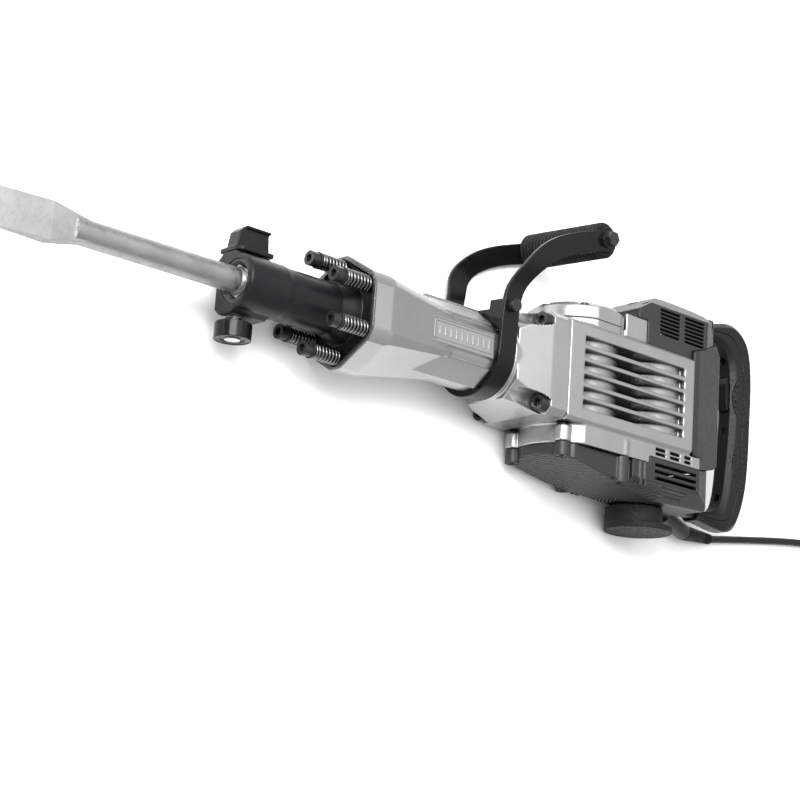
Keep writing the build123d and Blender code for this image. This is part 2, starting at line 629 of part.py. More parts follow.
def motor_cover():
    """Dark cover over the brush end of the motor, with two columns of vents on each side."""
    outline = [(556.3, MOTOR_SEAM_Y), (556.3, 86.3), (540, 86.3), (541, 98), (588, 125), (632, 129),
               (690, 120), (702, 108), (702, 88.4), (690, 88.4), (650, 72), (PANEL_END_X + SEAM_GAP, 67.4),
               (PANEL_END_X + SEAM_GAP, MOTOR_SEAM_Y)]
    plan = [(500, 51), (662, 51), (686, 40), (703, 24)]
    plan_column = prism_y(plan + [(x, -z) for x, z in reversed(plan)], 50, 135)
    roof = prism_x([(50, 52), (50, -52), (108, -52), (127, -28), (130, 0), (127, 28), (108, 52)], 500, 720)
    cover = prism_z(outline, -60, 60) & plan_column & roof
    inside = [(561, 55), (561, 92), (592, 118), (632, 122), (684, 114), (696, 104), (696, 94), (688, 94),
              (648, 78), (630, 73), (630, 55)]
    inner_plan = [(500, 45), (658, 45), (680, 35), (697, 20)]
    inner_column = prism_y(inner_plan + [(x, -z) for x, z in reversed(inner_plan)], 50, 135)
    hollow = prism_z(inside, -60, 60) & inner_column
    cover -= hollow & prism_x([(40, 46), (40, -46), (104, -46), (121, -24), (121, 24), (104, 46)], 500, 720)
    cover += ring_y(14, 19, 76, 123, MOTOR_X) + block(684, 734, 110.4, 118.6, -7, 7)
    for k in range(7):
        for x in (577, 621):
            for side in (-1, 1):
                z0, z1 = sorted((side * 41, side * 53))
                cover -= block(x, x + 35.5, 75 + 4.7 * k, 77.6 + 4.7 * k, z0, z1)
    for x, z in MOTOR_COVER_SCREWS:
        cover -= cyl_y(2.5, 80, 130, x, z) + cyl_y(4.6, 102, 130, x, z)
    return cover


def motor_cover_screws():
    return total(screw_y(106, x, z, 4.5, 4, 2.4, 16, way=-1) for x, z in MOTOR_COVER_SCREWS)


def tail_cover():
    """Dark cap behind the motor: a plate whose sides slant back from the ribbed panels."""
    start = PANEL_END_X + SEAM_GAP
    side_view = [(start, 67), (650, 71.6), (690, 88), (698, 80), (706, 70), (706, -54), (692, -63.5),
                 (655, -71.6), (start, -52)]
    plan = [(start, 55.5), (646, 54), (700, 39.5), (706, 34)]
    cap = prism_z(side_view, -60, 60) & prism_y(plan + [(x, -z) for x, z in reversed(plan)], -80, 95)
    lower_corner = prism_z([(start - 2, -57.7), (654.4, -57.7), (654.4, -80), (start - 2, -80)], -60, 60)
    inside = prism_z([(600, 62), (652, 66.5), (688, 82), (694, 74), (701, 66), (701, -50), (690, -58.5),
                      (660, -65), (660, -53), (600, -53)], -60, 60)
    inner_plan = [(600, 50.5), (646, 49), (697, 35.5), (701, 31)]
    inside = inside & prism_y(inner_plan + [(x, -z) for x, z in reversed(inner_plan)], -80, 95)
    return cap - cyl_y(CHAMBER_WALL_R + 0.4, -80, 95, MOTOR_X) - lower_corner - inside


# ---- D-handle ----
def outline_z(edges, z0, z1):
    """Solid over the closed outline that the edges make, between two heights."""
    return Pos(0, 0, z0) * (Part() + Solid.extrude(Face(Wire(edges)), Vector(0, 0, z1 - z0)))


def handle_body():
    """The whole D: a smooth outline with bevelled sides, hollow where the case's lugs enter its arms."""
    outer, inner = HANDLE_OUTER, HANDLE_INNER
    edges = [Spline(*outer), Line(outer[-1], inner[-1]), Spline(*inner[::-1]), Line(inner[0], outer[0])]
    body = outline_z(edges, -HANDLE_HALF, HANDLE_HALF)
    near, far = body.faces().sort_by(Axis.Z)[-1], body.faces().sort_by(Axis.Z)[0]
    rims = (near.edges() + far.edges()).filter_by(lambda edge: edge.center().X > 703)
    body = chamfer(rims, HANDLE_BEVEL)
    return body - block(699, 735, 110, 119, -7.5, 7.5) - block(699, 731, -116.5, -107.5, -7.5, 7.5)


def handle_half(outer):
    """One moulded half: the outer shell or the inner one that the fingers close on."""
    seam = [((a + c) / 2, (b + d) / 2) for (a, b), (c, d) in zip(HANDLE_OUTER, HANDLE_INNER)]
    beyond = [(702.3, 145), (810, 145), (810, -135), (700.3, -135)]
    within = [(702.3, 95), (740, 95), (740, -95), (700.3, -95)]
    rest = (beyond if outer else within)[::-1]
    half = handle_body() & outline_z([Spline(*seam), *Polyline(seam[-1], *rest, seam[0]).edges()], -20, 20)
    if not outer:
        half -= block(750, 773, 27, 70, -7, 7)
    for y in HANDLE_SCREWS:
        half -= cyl_x(2.4, 740, 788, y) + cyl_x(4.8, 740, 765.5, y)
    return half


def handle_outer_half():
    return handle_half(True)


def handle_inner_half():
    return handle_half(False)


def handle_screws():
    return total(cyl_x(4.5, 762.5, 765.5, y) + cyl_x(2.4, 765, 786, y) for y in HANDLE_SCREWS)


def trigger():
    """Finger lever in the grip's inner side, pressed back into it."""
    return prism_z([(757, 28), (753.5, 37), (753.5, 61), (756, 69), (764, 69), (764, 28)], -6.5, 6.5)


def trigger_spring():
    return cyl_x(2.6, 764.1, 770.4, 48.5)


def switch():
    """Switch body behind the trigger, filling the rest of its pocket."""
    return block(770.5, 773, 27.5, 69.5, -6.5, 6.5)


def rest_foot():
    """Round rubber foot under the cover with a broader sole, on which the hammer is set down upright."""
    return cyl_y(34, -139, -118.3, 617.5, -15) + cyl_y(40, -145, -138, 626, -15)


# ---- side handle ----
def arm(side):
    """Flat arm that rises from the clamp and sweeps back to the grip, at one side."""
    z_low, z_high, thick, half = 43.5, 59.0, 5.0, 12.0
    left, right = [], []
    for i, (x, y) in enumerate(ARM_PATH):
        x0, y0 = ARM_PATH[max(i - 1, 0)]
        x1, y1 = ARM_PATH[min(i + 1, len(ARM_PATH) - 1)]
        size = hypot(x1 - x0, y1 - y0)
        nx, ny = -(y1 - y0) / size, (x1 - x0) / size
        left.append((x + half * nx, y + half * ny, -80))
        right.append((x - half * nx, y - half * ny, -80))
    edges = [Spline(*left), Line(left[-1], right[-1]), Spline(*right[::-1]), Line(right[0], left[0])]
    flat = Part() + Solid.extrude(Face(Wire(edges)), Vector(0, 0, 160))
    inner = [(480, -30, side * z_low), (480, 62, side * z_low), (480, 88, side * (z_low + z_high) / 2),
             (480, 114, side * z_high), (480, 190, side * z_high)]
    outer = [(x, y, z + side * thick) for x, y, z in inner]
    bend = [Spline(*inner[1:4], tangents=[(0, 1, 0), (0, 1, 0)]), Line(inner[3], inner[4]),
            Line(inner[4], outer[4]), Line(outer[4], outer[3]),
            Spline(*outer[3:0:-1], tangents=[(0, -1, 0), (0, -1, 0)]), Line(outer[1], outer[0]),
            Line(outer[0], inner[0]), Line(inner[0], inner[1])]
    shell = Part() + Solid.extrude(Face(Wire(bend)), Vector(-180, 0, 0))
    z0, z1 = sorted((side * z_high, side * (z_high + thick)))
    return (flat & shell) + cyl_z(14, z0, z1, GRIP_X, GRIP_Y)


def side_strap():
    """Flat bar bent under the barrel, with both arms swept up and back."""
    loop = ring_x(STRAP_R + FIT, STRAP_R + STRAP_T + 3, STRAP_X0 + 1, STRAP_X1 - 1)
    loop = loop & block(300, 360, -60, 1, -60, 60)
    strap = loop + arm(1) + arm(-1)
    for side in (-1, 1):
        grip_hole = sorted((side * 50, side * 75))
        clamp_hole = sorted((side * 40, side * 60))
        strap -= cyl_z(GRIP_BOLT_R + FIT, *grip_hole, GRIP_X, GRIP_Y)
        strap -= cyl_z(4.2, *clamp_hole, *CLAMP_BOLT)
    return strap - cyl_x(STRAP_R + FIT, 300, 360)


def clamp_block():
    """Saddle across the top of the barrel that the clamp bolt pulls between the arms."""
    saddle = block(STRAP_X0 + 2, STRAP_X1 - 2, 22, 58, -43.2, 43.2)
    saddle -= cyl_x(STRAP_R + FIT, 300, 360)
    saddle -= block(300, 360, 48, 70, -24, 24)
    return saddle - cyl_z(4.2, -50, 50, *CLAMP_BOLT)


def clamp_bolts():
    """Two cap screws through the arms into the saddle."""
    bolts = []
    for side in (-1, 1):
        span = sorted((side * 48.7, side * 55.5))
        shank = sorted((side * 26, side * 50))
        bolts.append(cyl_z(7, *span, *CLAMP_BOLT) + cyl_z(4.1, *shank, *CLAMP_BOLT))
    return total(bolts)


def side_grip():
    """Rubber grip with rings round it, on the through bolt between the arms."""
    grip = cyl_z(GRIP_R - 2, -58.8, 58.8, GRIP_X, GRIP_Y)
    for k in range(GRIP_RINGS):
        z = (k - (GRIP_RINGS - 1) / 2) * GRIP_RING_PITCH
        grip += cyl_z(GRIP_R, z - 1.7, z + 1.7, GRIP_X, GRIP_Y)
    return grip - cyl_z(GRIP_BOLT_R + FIT, -61, 61, GRIP_X, GRIP_Y)


def grip_bolt():
    """Through bolt with its head on the far side, and a washer and nut on the near one."""
    bolt = cyl_z(GRIP_BOLT_R, -65, 73, GRIP_X, GRIP_Y) + cyl_z(9, -67, -64.05, GRIP_X, GRIP_Y)
    nut = prism_z([(GRIP_X + p, GRIP_Y + q) for p, q in hexagon(15)], 66, 73)
    return bolt + cyl_z(10, 64.05, 66, GRIP_X, GRIP_Y) + nut


# ---- cord ----
def cord_guard():
    """Tapered rubber strain relief with grooves near its thin end, leaning down to the floor."""
    reach = GUARD_END - GUARD_START
    plane = Plane(origin=GUARD_START, z_dir=reach)
    guard = plane * Cone(9.5, 6.4, reach.length, align=LOW)
    for k in range(4):
        groove = Cylinder(12, 1.6, align=LOW) - Cylinder(5.4, 1.6, align=LOW)
        guard -= plane * Pos(0, 0, reach.length - 6 - 4 * k) * groove
    return guard


def cord_coil():
    """Outer shape of the wound cord: three turns side by side in two layers."""
    low, high = FLOOR_Z + COIL_LIFT, FLOOR_Z + COIL_LIFT + 2 * COIL_LAYERS * CORD_R
    coil = cyl_z(COIL_R + COIL_LANES * CORD_R, low, high, COIL_X, COIL_Y)
    return coil - cyl_z(COIL_R - COIL_LANES * CORD_R, low - 1, high + 1, COIL_X, COIL_Y)


def cord_tie():
    """Strap round the wound turns."""
    low, high = FLOOR_Z, FLOOR_Z + 2 * COIL_LIFT + 2 * COIL_LAYERS * CORD_R
    inner, outer = COIL_R - COIL_LANES * CORD_R, COIL_R + COIL_LANES * CORD_R
    band = cyl_z(outer + COIL_LIFT, low, high, COIL_X, COIL_Y)
    band -= cyl_z(inner - COIL_LIFT, low - 1, high + 1, COIL_X, COIL_Y)
    hole = cyl_z(outer, low + COIL_LIFT, high - COIL_LIFT, COIL_X, COIL_Y)
    hole -= cyl_z(inner, low, high, COIL_X, COIL_Y)
    return (band - hole) & block(COIL_X - 6, COIL_X + 6, COIL_Y, COIL_Y + 80, low, high)


def plug():
    """Moulded two-pin plug lying beside the coil."""
    plane = Plane(origin=(1124.5, 8, FLOOR_Z + 14.5), z_dir=(0.08, 1, 0))
    shell = plane * Cone(5.5, 9, 24, align=LOW) + plane * Pos(0, 0, 24) * Cone(11, 14, 10, align=LOW)
    shell += plane * Pos(0, 0, 34) * Cylinder(14, 16, align=LOW)
    for side in (-1, 1):
        shell += plane * Pos(side * 7, 0, 49) * Cylinder(2.2, 20, align=LOW)
    return shell


def bend_radii(points):
    """The largest arc each corner's two runs allow."""
    radii = []
    for a, b, c in zip(points, points[1:], points[2:]):
        first, second = Vector(*b) - Vector(*a), Vector(*c) - Vector(*b)
        turn = radians(first.get_angle(second))
        radii.append(0.45 * min(first.length, second.length) / tan(turn / 2))
    return radii


def cord():
    radii = bend_radii(CORD_POINTS)
    print("cord radii", [round(r) for r in radii])
    path = FilletPolyline(*CORD_POINTS, radius=radii)
    section = Plane(origin=path @ 0, z_dir=path % 0) * Circle(CORD_R)
    tube = sweep(section, path=path)
    print("cord volume", round(tube.volume), "section times length", round(pi * CORD_R ** 2 * path.length))
    return tube


def main():
    upright = [
        front_cover, nose_bush, retainer_shaft, retainer_lever, retainer_knob, retainer_spring, flat_chisel,
        cylinder_case, cushion_bolts, cushion_washers, cushion_springs, damper_ring, case_bolts,
        cylinder_liner, liner_seals, striker, striker_seals, impact_bolt, piston, piston_pin, connecting_rod,
        crank_case, crank_cover, crank_cover_screws, crank_shaft, crank_gear, crank_bearings,
        middle_shaft, middle_gear, middle_bearings, gear_cover, gear_cover_screws, rest_foot,
        stator, stator_coils, armature, commutator, armature_bearings, fan, brush_holders, carbon_brushes,
        motor_cover, motor_cover_screws, tail_cover,
        handle_outer_half, handle_inner_half, handle_screws, trigger, trigger_spring, switch,
        cord_guard, cord, cord_coil, cord_tie, plug,
    ]
    for make in upright:
        write(make.__name__, make())
    for make in (side_strap, clamp_block, clamp_bolts, side_grip, grip_bolt):
        write(make.__name__, make(), HANDLE_LEAN)


main()
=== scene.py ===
"""Looks of the electric demolition hammer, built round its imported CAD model.

Sizes are written in millimetres in the hammer's own axis frame, as in the CAD: X runs back along the
hammer from its nose face, Y runs along the crank and motor shafts, Z comes out of the ribbed side that
faces the camera. at() turns them into metres in the row frame. The hammer lies on its far ribbed side.
"""

import json
from math import cos, pi, radians, sin

import bmesh
import bpy
from mathutils import Matrix, Vector


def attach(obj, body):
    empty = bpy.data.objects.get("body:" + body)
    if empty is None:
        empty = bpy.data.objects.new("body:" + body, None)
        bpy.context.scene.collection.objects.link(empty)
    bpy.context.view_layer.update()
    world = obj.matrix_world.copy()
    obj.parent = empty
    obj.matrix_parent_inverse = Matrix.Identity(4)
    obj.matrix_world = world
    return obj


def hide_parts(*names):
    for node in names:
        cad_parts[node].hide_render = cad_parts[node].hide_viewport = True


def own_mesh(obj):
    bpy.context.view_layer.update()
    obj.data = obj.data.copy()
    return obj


MM = 0.001
BODY_HALF = 56.0
ORIGIN = Vector((256.5, 16.0, -BODY_HALF))

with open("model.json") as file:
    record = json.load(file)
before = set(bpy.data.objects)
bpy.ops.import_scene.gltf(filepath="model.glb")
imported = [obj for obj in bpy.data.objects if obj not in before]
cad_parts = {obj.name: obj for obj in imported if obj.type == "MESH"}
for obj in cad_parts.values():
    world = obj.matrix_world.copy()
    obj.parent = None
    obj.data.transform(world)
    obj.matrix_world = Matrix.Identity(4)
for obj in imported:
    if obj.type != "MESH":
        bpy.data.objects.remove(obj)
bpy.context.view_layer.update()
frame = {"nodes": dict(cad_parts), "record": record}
nodes = frame["nodes"]


def at(x, y, z):
    """A point of the axis frame, in metres in the row frame."""
    return (Vector((x, y, z)) - ORIGIN) * MM


# ---- materials ----
RING_PITCH = 4.2                     # of the fine rings round the motor axis on the gear cover
RIM_FACE_X = 137.0                   # the barrel's rough front face lies in front of this
GRIP_PATCHES = ((778, 45), (777, -43))
GRIP_PATCH_R = 14.5


class Shader:
    """A node material: a Principled shader with helpers that wire procedural detail into it."""

    def __init__(self, name, color, roughness, metallic=0.0, edge_mm=0.0, **sockets):
        self.material = bpy.data.materials.new(name)
        self.material.use_nodes = True
        self.nodes = self.material.node_tree.nodes
        self.links = self.material.node_tree.links
        self.principled = self.nodes["Principled BSDF"]
        self.set(self.principled, "Base Color", (*color, 1))
        self.set(self.principled, "Roughness", roughness)
        self.set(self.principled, "Metallic", metallic)
        for key, value in sockets.items():
            self.set(self.principled, key.replace("_", " "), value)
        self.color = color
        self.bump_end = None
        if edge_mm:
            bevel = self.add("ShaderNodeBevel", samples=4)
            self.set(bevel, "Radius", edge_mm * MM)
            self.bump_end = bevel.outputs["Normal"]
            self.links.new(self.bump_end, self.principled.inputs["Normal"])

    @staticmethod
    def set(node, socket, value):
        node.inputs[socket].default_value = value

    def add(self, kind, **values):
        node = self.nodes.new(kind)
        for key, value in values.items():
            setattr(node, key, value)
        return node

    def position(self, stretch=(1, 1, 1), turn=(0, 0, 0)):
        """Object coordinates, scaled, so that a pattern keeps its place on the piece."""
        coordinates = self.add("ShaderNodeTexCoord")
        mapping = self.add("ShaderNodeMapping")
        self.set(mapping, "Scale", stretch)
        self.set(mapping, "Rotation", turn)
        self.links.new(coordinates.outputs["Object"], mapping.inputs["Vector"])
        return mapping.outputs["Vector"]

    def noise(self, size_mm, detail=3.0, stretch=(1, 1, 1), roughness=0.5):
        node = self.add("ShaderNodeTexNoise")
        self.set(node, "Scale", 1000.0 / size_mm)
        self.set(node, "Detail", detail)
        self.set(node, "Roughness", roughness)
        self.links.new(self.position(stretch), node.inputs["Vector"])
        return node.outputs["Fac"]

    def pebbles(self, size_mm):
        node = self.add("ShaderNodeTexVoronoi", feature="F1")
        self.set(node, "Scale", 1000.0 / size_mm)
        self.links.new(self.position(), node.inputs["Vector"])
        return node.outputs["Distance"]

    def curve(self, value, low, high, out_low, out_high):
        node = self.add("ShaderNodeMapRange", interpolation_type="SMOOTHSTEP")
        sockets = ("From Min", "From Max", "To Min", "To Max")
        for socket, number in zip(sockets, (low, high, out_low, out_high)):
            self.set(node, socket, number)
        self.links.new(value, node.inputs["Value"])
        return node.outputs["Result"]

    def color_between(self, value, dark, light):
        ramp = self.add("ShaderNodeValToRGB")
        ramp.color_ramp.elements[0].color = (*dark, 1)
        ramp.color_ramp.elements[1].color = (*light, 1)
        self.links.new(value, ramp.inputs["Fac"])
        self.color_output = ramp.outputs["Color"]
        self.links.new(self.color_output, self.principled.inputs["Base Color"])
        return self

    def tint(self, value, color):
        """Mixes a colour over what is there, by value."""
        mix = self.add("ShaderNodeMix", data_type="RGBA")
        self.links.new(value, mix.inputs["Factor"])
        if hasattr(self, "color_output"):
            self.links.new(self.color_output, mix.inputs["A"])
        else:
            mix.inputs["A"].default_value = (*self.color, 1)
        mix.inputs["B"].default_value = (*color, 1)
        self.color_output = mix.outputs["Result"]
        self.links.new(self.color_output, self.principled.inputs["Base Color"])
        return self

    def roughness(self, value, low, high, smooth, rough):
        self.links.new(self.curve(value, low, high, smooth, rough), self.principled.inputs["Roughness"])
        return self

    def bump(self, value, height_mm, strength=1.0):
        node = self.add("ShaderNodeBump")
        self.set(node, "Strength", strength)
        self.set(node, "Distance", height_mm * MM)
        self.links.new(value, node.inputs["Height"])
        if self.bump_end is not None:
            self.links.new(self.bump_end, node.inputs["Normal"])
        self.bump_end = node.outputs["Normal"]
        self.links.new(self.bump_end, self.principled.inputs["Normal"])
        return self

    def math(self, operation, first, second):
        """One Math node; each side is a number or another node's output."""
        node = self.add("ShaderNodeMath", operation=operation)
        for socket, value in zip(node.inputs, (first, second)):
            if isinstance(value, (int, float)):
                socket.default_value = value
            else:
                self.links.new(value, socket)
        return node.outputs["Value"]

    def offset(self, x, y, z, keep):
        """The way from a point of the axis frame, in millimetres, along the directions kept."""
        away = self.add("ShaderNodeVectorMath", operation="SUBTRACT")
        away.inputs[1].default_value = at(x, y, z)
        self.links.new(self.position(), away.inputs[0])
        scaled = self.add("ShaderNodeVectorMath", operation="MULTIPLY")
        scaled.inputs[1].default_value = [k / MM for k in keep]
        self.links.new(away.outputs["Vector"], scaled.inputs[0])
        return scaled.outputs["Vector"]

    def distance(self, x, y, z, keep=(1, 1, 1)):
        length = self.add("ShaderNodeVectorMath", operation="LENGTH")
        self.links.new(self.offset(x, y, z, keep), length.inputs[0])
        return length.outputs["Value"]

    def painted_crevice_shade(self, distance_mm, color, amount):
        """Painted shade: mixes the colour towards a dark one where the surface is closed in, between ribs and
        round bosses, by ambient occlusion.
        """
        sky = self.add("ShaderNodeAmbientOcclusion", samples=6)
        self.set(sky, "Distance", distance_mm * MM)
        return self.tint(self.curve(sky.outputs["AO"], 0.15, 0.75, amount, 0.0), color)

    def facing(self, axis):
        """How far the surface faces along one axis of the piece, from -1 to 1."""
        split = self.add("ShaderNodeSeparateXYZ")
        self.links.new(self.add("ShaderNodeTexCoord").outputs["Normal"], split.inputs["Vector"])
        return split.outputs[axis]

    def place(self, axis):
        """One axis-frame coordinate, in millimetres."""
        split = self.add("ShaderNodeSeparateXYZ")
        self.links.new(self.offset(0, 0, 0, (1, 1, 1)), split.inputs["Vector"])
        return split.outputs[axis]


def cast_alloy():
    """Die-cast aluminium with a satin silver coat, slightly uneven."""
    s = Shader("cast_alloy", (0.37, 0.37, 0.37), 0.32, 0.85)
    s.color_between(s.noise(45, 4), (0.33, 0.33, 0.328), (0.42, 0.42, 0.418))
    # Painted shade: near-black mixed into the colour between ribs and bosses, by ambient occlusion.
    s.painted_crevice_shade(20, (0.02, 0.02, 0.02), 0.9)
    s.roughness(s.noise(30, 3), 0.3, 0.7, 0.26, 0.34)
    return s.bump(s.noise(26, 2), 0.35, 0.5).material


def barrel_alloy():
    """The barrel's silver: smoother, with the rim's face left rough and grey."""
    s = Shader("barrel_alloy", (0.36, 0.36, 0.36), 0.30, 0.85)
    s.color_between(s.noise(60, 3), (0.32, 0.32, 0.318), (0.40, 0.40, 0.398))
    front = s.curve(s.place("X"), RIM_FACE_X - 0.4, RIM_FACE_X + 0.4, 1.0, 0.0)
    s.tint(front, (0.10, 0.10, 0.10))
    s.roughness(s.noise(40, 3, (0.3, 1, 1)), 0.3, 0.7, 0.26, 0.34)
    return s.bump(s.math("MULTIPLY", s.pebbles(1.6), front), 0.5).material


def painted_black():
    """Glossy black paint on the flat bar, the clamp and the retainer's knob."""
    s = Shader("painted_black", (0.004, 0.004, 0.004), 0.20, 0.0, Specular_IOR_Level=0.20)
    s.color_between(s.noise(40, 3), (0.003, 0.003, 0.003), (0.006, 0.006, 0.006))
    s.roughness(s.noise(9, 4), 0.3, 0.7, 0.14, 0.26)
    return s.bump(s.noise(14, 2), 0.05).material


def cast_black():
    """Black-painted casting of the nose: satin, with its sand grain showing."""
    s = Shader("cast_black", (0.005, 0.005, 0.006), 0.36, 0.0, Specular_IOR_Level=0.22)
    s.color_between(s.noise(25, 4), (0.003, 0.003, 0.004), (0.009, 0.009, 0.010))
    # Painted shade: darker colour in the nose casting's recesses, by ambient occlusion.
    s.painted_crevice_shade(10, (0.002, 0.002, 0.002), 0.8)
    s.roughness(s.noise(4, 4), 0.3, 0.7, 0.28, 0.46)
    s.bump(s.noise(14, 3), 0.25, 0.5)
    return s.bump(s.noise(1.3, 4), 0.07).material


def blued_steel():
    """Blackened screws and bolts."""
    s = Shader("blued_steel", (0.035, 0.035, 0.036), 0.30, 0.7, 0.5)
    s.color_between(s.noise(6, 4), (0.022, 0.022, 0.023), (0.055, 0.055, 0.056))
    s.roughness(s.noise(4, 4), 0.3, 0.7, 0.22, 0.40)
    return s.bump(s.noise(0.8, 2), 0.03).material


def spring_steel():
    """Oiled spring wire: dark, with bright glints along each turn."""
    s = Shader("spring_steel", (0.16, 0.16, 0.16), 0.24, 1.0)
    s.color_between(s.noise(9, 3), (0.11, 0.11, 0.11), (0.21, 0.21, 0.21))
    # Painted shade: darker colour between the turns, by ambient occlusion.
    s.painted_crevice_shade(5, (0.01, 0.01, 0.01), 0.9)
    return s.roughness(s.noise(3, 3), 0.3, 0.7, 0.18, 0.32).material


def turned_steel():
    """Steel turned on a lathe: satin, with fine marks round it."""
    s = Shader("turned_steel", (0.36, 0.35, 0.34), 0.38, 1.0, 0.4)
    s.color_between(s.noise(30, 5), (0.27, 0.265, 0.26), (0.42, 0.415, 0.405))
    s.roughness(s.noise(7, 5), 0.3, 0.7, 0.30, 0.48)
    return s.bump(s.noise(0.5, 3, (1, 0.08, 0.08)), 0.05).material


def forged_steel():
    """The chisel: ground along its length, with brown-grey heat tint and scale specks."""
    s = Shader("forged_steel", (0.30, 0.30, 0.295), 0.42, 0.95, 0.6)
    s.color_between(s.noise(38, 5), (0.22, 0.218, 0.215), (0.36, 0.358, 0.35))
    s.roughness(s.noise(6, 5), 0.3, 0.7, 0.34, 0.55)
    s.bump(s.noise(0.6, 3, (0.06, 1, 1)), 0.06)
    return s.bump(s.noise(3.5, 4), 0.12).material


def bright_steel():
    """Polished steel of shafts and bearings."""
    s = Shader("bright_steel", (0.72, 0.72, 0.71), 0.16, 1.0, 0.4)
    s.roughness(s.noise(8, 4), 0.3, 0.7, 0.10, 0.24)
    return s.bump(s.noise(1.0, 2), 0.02).material


def spark_plastic(name="spark_plastic"):
    """Dark grey moulded cover with a fine spark-eroded grain."""
    s = Shader(name, (0.028, 0.028, 0.029), 0.34, 0.25, Specular_IOR_Level=0.32)
    s.color_between(s.noise(70, 3), (0.022, 0.022, 0.023), (0.036, 0.036, 0.037))
    # Painted shade: darker colour in the covers' recesses, by ambient occlusion.
    s.painted_crevice_shade(8, (0.008, 0.008, 0.008), 0.85)
    s.roughness(s.noise(3, 3), 0.3, 0.7, 0.30, 0.46)
    return s.bump(s.pebbles(0.9), 0.05)


def grooved_plastic():
    """The gear cover's finish, with fine rings round the motor axis on its sloping underside."""
    s = spark_plastic("grooved_plastic")
    rings = s.math("SINE", s.math("MULTIPLY", s.distance(600, 0, 0, (1, 0, 1)), 2 * pi / RING_PITCH), 0)
    under = s.curve(s.facing("Y"), -0.80, -0.65, 1.0, 0.0)
    front = s.curve(s.place("X"), 590.0, 606.0, 1.0, 0.0)
    mask = s.math("MULTIPLY", under, front)
    return s.bump(s.math("MULTIPLY", rings, mask), 0.9).material


def handle_plastic():
    """The D-handle: soft black with two long pebbled patches down the grip."""
    s = Shader("handle_plastic", (0.006, 0.006, 0.007), 0.38, 0.0, Specular_IOR_Level=0.22)
    s.color_between(s.noise(60, 3), (0.004, 0.004, 0.005), (0.010, 0.010, 0.011))
    s.roughness(s.noise(3, 3), 0.3, 0.7, 0.34, 0.50)
    ways = [s.distance(x, y, 0, (0.9, 0.42, 0)) for x, y in GRIP_PATCHES]
    upper, lower = [s.curve(way, GRIP_PATCH_R - 0.5, GRIP_PATCH_R + 0.5, 1.0, 0.0) for way in ways]
    patches = s.math("ADD", upper, lower)
    s.bump(s.math("MULTIPLY", s.pebbles(3.4), patches), 1.8)
    return s.bump(s.pebbles(0.9), 0.05).material


def grip_rubber():
    """Matt black rubber of the grip, the foot and the strain relief."""
    s = Shader("grip_rubber", (0.006, 0.006, 0.006), 0.50, 0.0, Specular_IOR_Level=0.22)
    s.color_between(s.noise(25, 4), (0.004, 0.004, 0.004), (0.010, 0.010, 0.010))
    # Painted shade: darker colour in the rubber's grooves and recesses, by ambient occlusion.
    s.painted_crevice_shade(5, (0.002, 0.002, 0.002), 0.8)
    s.roughness(s.noise(4, 4), 0.3, 0.7, 0.52, 0.75)
    return s.bump(s.noise(0.7, 3), 0.05).material


def cord_rubber():
    """The cord's smooth black sheath."""
    s = Shader("cord_rubber", (0.008, 0.008, 0.008), 0.46, 0.0, Specular_IOR_Level=0.25)
    s.color_between(s.noise(40, 3), (0.005, 0.005, 0.005), (0.012, 0.012, 0.012))
    s.roughness(s.noise(5, 3), 0.3, 0.7, 0.40, 0.58)
    return s.bump(s.noise(1.0, 2), 0.03).material


def enamelled_copper():
    """Windings, with the wires showing as fine ridges."""
    s = Shader("enamelled_copper", (0.55, 0.22, 0.10), 0.34, 0.9)
    s.color_between(s.noise(10, 3), (0.46, 0.18, 0.08), (0.62, 0.27, 0.12))
    return s.bump(s.noise(0.8, 2, (1, 0.1, 1)), 0.15).material


def pressed_carbon():
    """Grainy carbon of the brushes."""
    s = Shader("pressed_carbon", (0.02, 0.02, 0.02), 0.6)
    s.color_between(s.noise(3, 3), (0.014, 0.014, 0.014), (0.035, 0.035, 0.035))
    return s.bump(s.noise(0.6, 3), 0.05).material


def laminated_steel():
    """Stacked sheets of the motor's cores, with their edges showing."""
    s = Shader("laminated_steel", (0.20, 0.20, 0.205), 0.42, 0.9)
    s.color_between(s.noise(14, 3), (0.16, 0.16, 0.165), (0.24, 0.24, 0.245))
    return s.bump(s.noise(0.5, 1, (0.02, 1, 0.02)), 0.12).material


MAKERS = {
    "cast_alloy": cast_alloy, "bare_steel": turned_steel, "dark_steel": blued_steel,
    "bright_steel": bright_steel, "black_fittings": painted_black, "grooved": grooved_plastic,
    "dark_plastic": lambda: spark_plastic().material,
    "black_rubber": grip_rubber, "copper_wire": enamelled_copper, "bearing_steel": bright_steel,
    "nose": cast_black, "carbon": pressed_carbon, "core_steel": laminated_steel, "barrel": barrel_alloy,
    "handle": handle_plastic, "cord": cord_rubber, "forged": forged_steel, "spring": spring_steel,
}
made = {}


def material(key):
    """One material of each kind, made the first time it is asked for."""
    if key not in made:
        made[key] = MAKERS[key]()
    return made[key]


def dress(thing, key):
    """Gives the thing one material in place of what it had."""
    thing.data.materials.clear()
    thing.data.materials.append(material(key))


# ---- camera, light and floor ----
CAMERA_AT = Vector((-1128.67, -577.68, 1538.14))
CAMERA_RIGHT = Vector((0.73726, 0.06721, 0.67226))
CAMERA_DOWN = Vector((0.20966, -0.96867, -0.13309))
CAMERA_AHEAD = Vector((0.64225, 0.23906, -0.72826))
LENS, SENSOR = 90.617, 36.0
WORLD_LIGHT = 0.62
FLOOR_HALF = 9.0


def add_camera():
    data = bpy.data.cameras.new("camera")
    data.lens = LENS
    data.sensor_width = SENSOR
    data.clip_start, data.clip_end = 0.05, 50.0
    camera = bpy.data.objects.new("camera", data)
    turn = Matrix((CAMERA_RIGHT, -CAMERA_DOWN, -CAMERA_AHEAD)).transposed().to_4x4()
    camera.matrix_world = Matrix.Translation(at(*CAMERA_AT)) @ turn
    bpy.context.collection.objects.link(camera)
    bpy.context.scene.camera = camera


